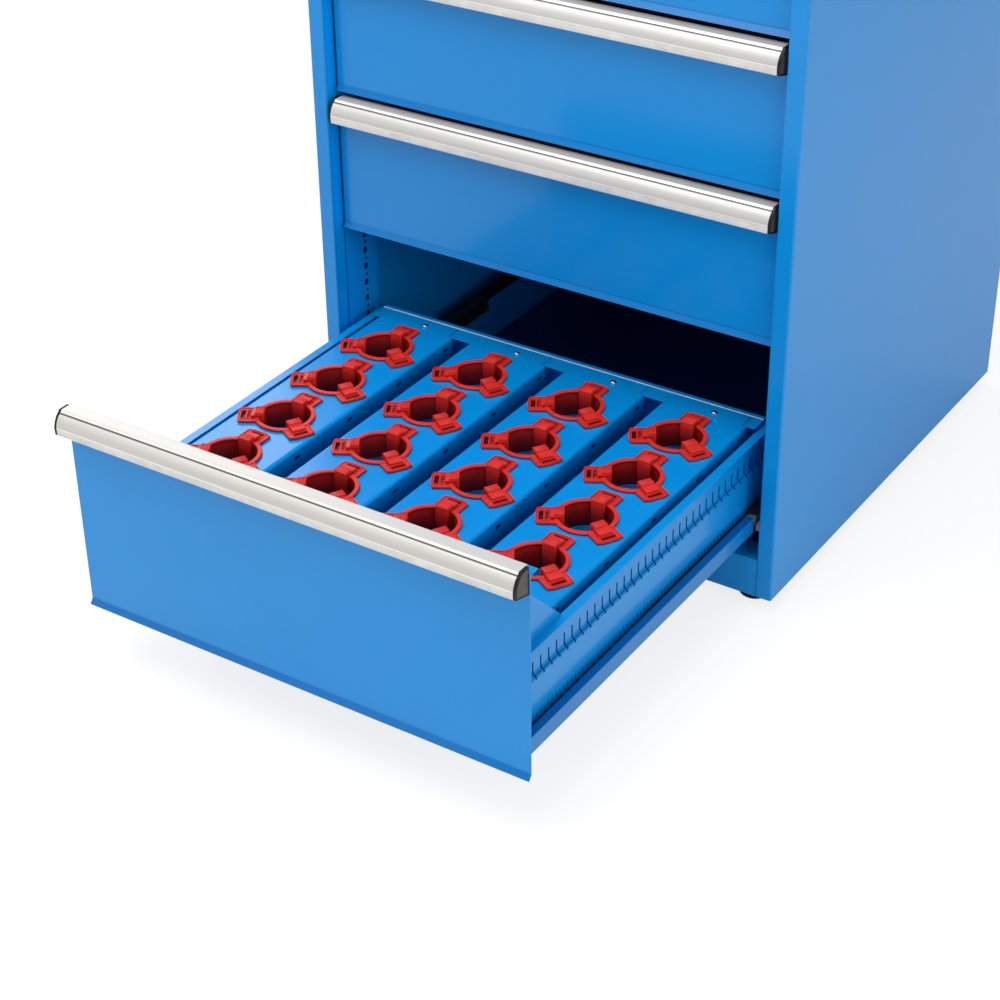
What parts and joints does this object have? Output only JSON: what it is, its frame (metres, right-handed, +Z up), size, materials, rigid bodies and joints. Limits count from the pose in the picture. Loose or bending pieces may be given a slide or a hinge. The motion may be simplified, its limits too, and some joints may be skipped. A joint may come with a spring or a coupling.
{
  "type": "drawer cabinet",
  "caption": "Sheet-steel cabinet with full-extension drawers; the deep bottom drawer holds tool holders upright in plastic sockets on bridge plates, and levelling feet carry it.",
  "frame": {"origin": "on the floor, in the middle of the footprint with the bottom drawer pulled out as at rest", "axes": "+X to the right seen from the front, +Y to the back (drawers open towards -Y), +Z up"},
  "size_m": [0.717, 1.3128, 1.02],
  "materials": {
    "blue_enamel": "smooth gloss enamel with a fine orange peel",
    "handle_aluminium": "satin anodised",
    "cap_grey": "fine matte moulding",
    "insert_red": "moulded, slightly glossy",
    "runner_steel": "dark phosphated steel",
    "roller_grey": "machined smooth",
    "bright_steel": "zinc plated",
    "foot_black": "dull black moulding"
  },
  "bodies": {
    "housing": {"side_panel_left": "blue_enamel", "side_panel_right": "blue_enamel", "top_cover": "blue_enamel", "plinth": "blue_enamel", "top_rail": "blue_enamel", "base_pan": "blue_enamel", "back_panel": "blue_enamel", "front_posts": "blue_enamel", "rear_posts": "blue_enamel", "cabinet_rails": "runner_steel", "foot_brackets": "bright_steel"},
    "foot_front_left": {"foot_front_left": "foot_black"},
    "foot_front_right": {"foot_front_right": "foot_black"},
    "foot_rear_left": {"foot_rear_left": "foot_black"},
    "foot_rear_right": {"foot_rear_right": "foot_black"},
    "drawer_1": {"drawer_front_1": "blue_enamel", "handle_1": "handle_aluminium", "handle_caps_1": "cap_grey", "drawer_runners_1": "blue_enamel", "drawer_rollers_1": "roller_grey", "tool_drawer_wall_left": "blue_enamel", "tool_drawer_wall_right": "blue_enamel", "tool_drawer_floor": "blue_enamel", "tool_drawer_end_walls": "blue_enamel", "carrier_screws": "bright_steel", "tool_carrier_1": "blue_enamel", "tool_inserts_1": "insert_red", "insert_jaws_1": "insert_red", "tool_carrier_2": "blue_enamel", "tool_inserts_2": "insert_red", "insert_jaws_2": "insert_red", "tool_carrier_3": "blue_enamel", "tool_inserts_3": "insert_red", "insert_jaws_3": "insert_red", "tool_carrier_4": "blue_enamel", "tool_inserts_4": "insert_red", "insert_jaws_4": "insert_red"},
    "telescope_1": {"telescope_rails_1": "runner_steel", "telescope_rollers_1": "roller_grey"},
    "drawer_2": {"drawer_front_2": "blue_enamel", "handle_2": "handle_aluminium", "handle_caps_2": "cap_grey", "drawer_runners_2": "blue_enamel", "drawer_tray_2": "blue_enamel"},
    "telescope_2": {"telescope_rails_2": "runner_steel", "telescope_rollers_2": "roller_grey"},
    "drawer_3": {"drawer_front_3": "blue_enamel", "handle_3": "handle_aluminium", "handle_caps_3": "cap_grey", "drawer_runners_3": "blue_enamel", "drawer_tray_3": "blue_enamel"},
    "telescope_3": {"telescope_rails_3": "runner_steel", "telescope_rollers_3": "roller_grey"},
    "drawer_4": {"drawer_front_4": "blue_enamel", "handle_4": "handle_aluminium", "handle_caps_4": "cap_grey", "drawer_runners_4": "blue_enamel", "drawer_tray_4": "blue_enamel"},
    "telescope_4": {"telescope_rails_4": "runner_steel", "telescope_rollers_4": "roller_grey"}
  },
  "joints": [
    {"name": "foot_front_left_screw", "type": "slide", "parent": "housing", "child": "foot_front_left", "axis": [0, 0, -1], "range_m": [0, 0.012]},
    {"name": "foot_front_right_screw", "type": "slide", "parent": "housing", "child": "foot_front_right", "axis": [0, 0, -1], "range_m": [0, 0.012]},
    {"name": "foot_rear_left_screw", "type": "slide", "parent": "housing", "child": "foot_rear_left", "axis": [0, 0, -1], "range_m": [0, 0.012]},
    {"name": "foot_rear_right_screw", "type": "slide", "parent": "housing", "child": "foot_rear_right", "axis": [0, 0, -1], "range_m": [0, 0.012]},
    {"name": "drawer_1_slide", "type": "slide", "parent": "housing", "child": "drawer_1", "axis": [0, -1, 0], "range_m": [-0.566, 0.046]},
    {"name": "telescope_1_slide", "type": "slide", "parent": "housing", "child": "telescope_1", "axis": [0, -1, 0], "range_m": [-0.283, 0.023]},
    {"name": "drawer_2_slide", "type": "slide", "parent": "housing", "child": "drawer_2", "axis": [0, -1, 0], "range_m": [0, 0.612]},
    {"name": "telescope_2_slide", "type": "slide", "parent": "housing", "child": "telescope_2", "axis": [0, -1, 0], "range_m": [0, 0.306]},
    {"name": "drawer_3_slide", "type": "slide", "parent": "housing", "child": "drawer_3", "axis": [0, -1, 0], "range_m": [0, 0.612]},
    {"name": "telescope_3_slide", "type": "slide", "parent": "housing", "child": "telescope_3", "axis": [0, -1, 0], "range_m": [0, 0.306]},
    {"name": "drawer_4_slide", "type": "slide", "parent": "housing", "child": "drawer_4", "axis": [0, -1, 0], "range_m": [0, 0.612]},
    {"name": "telescope_4_slide", "type": "slide", "parent": "housing", "child": "telescope_4", "axis": [0, -1, 0], "range_m": [0, 0.306]}
  ],
  "couplings": [
    {"joint": "telescope_1_slide", "follows": "drawer_1_slide", "ratio": 0.5},
    {"joint": "telescope_2_slide", "follows": "drawer_2_slide", "ratio": 0.5},
    {"joint": "telescope_3_slide", "follows": "drawer_3_slide", "ratio": 0.5},
    {"joint": "telescope_4_slide", "follows": "drawer_4_slide", "ratio": 0.5}
  ]
}
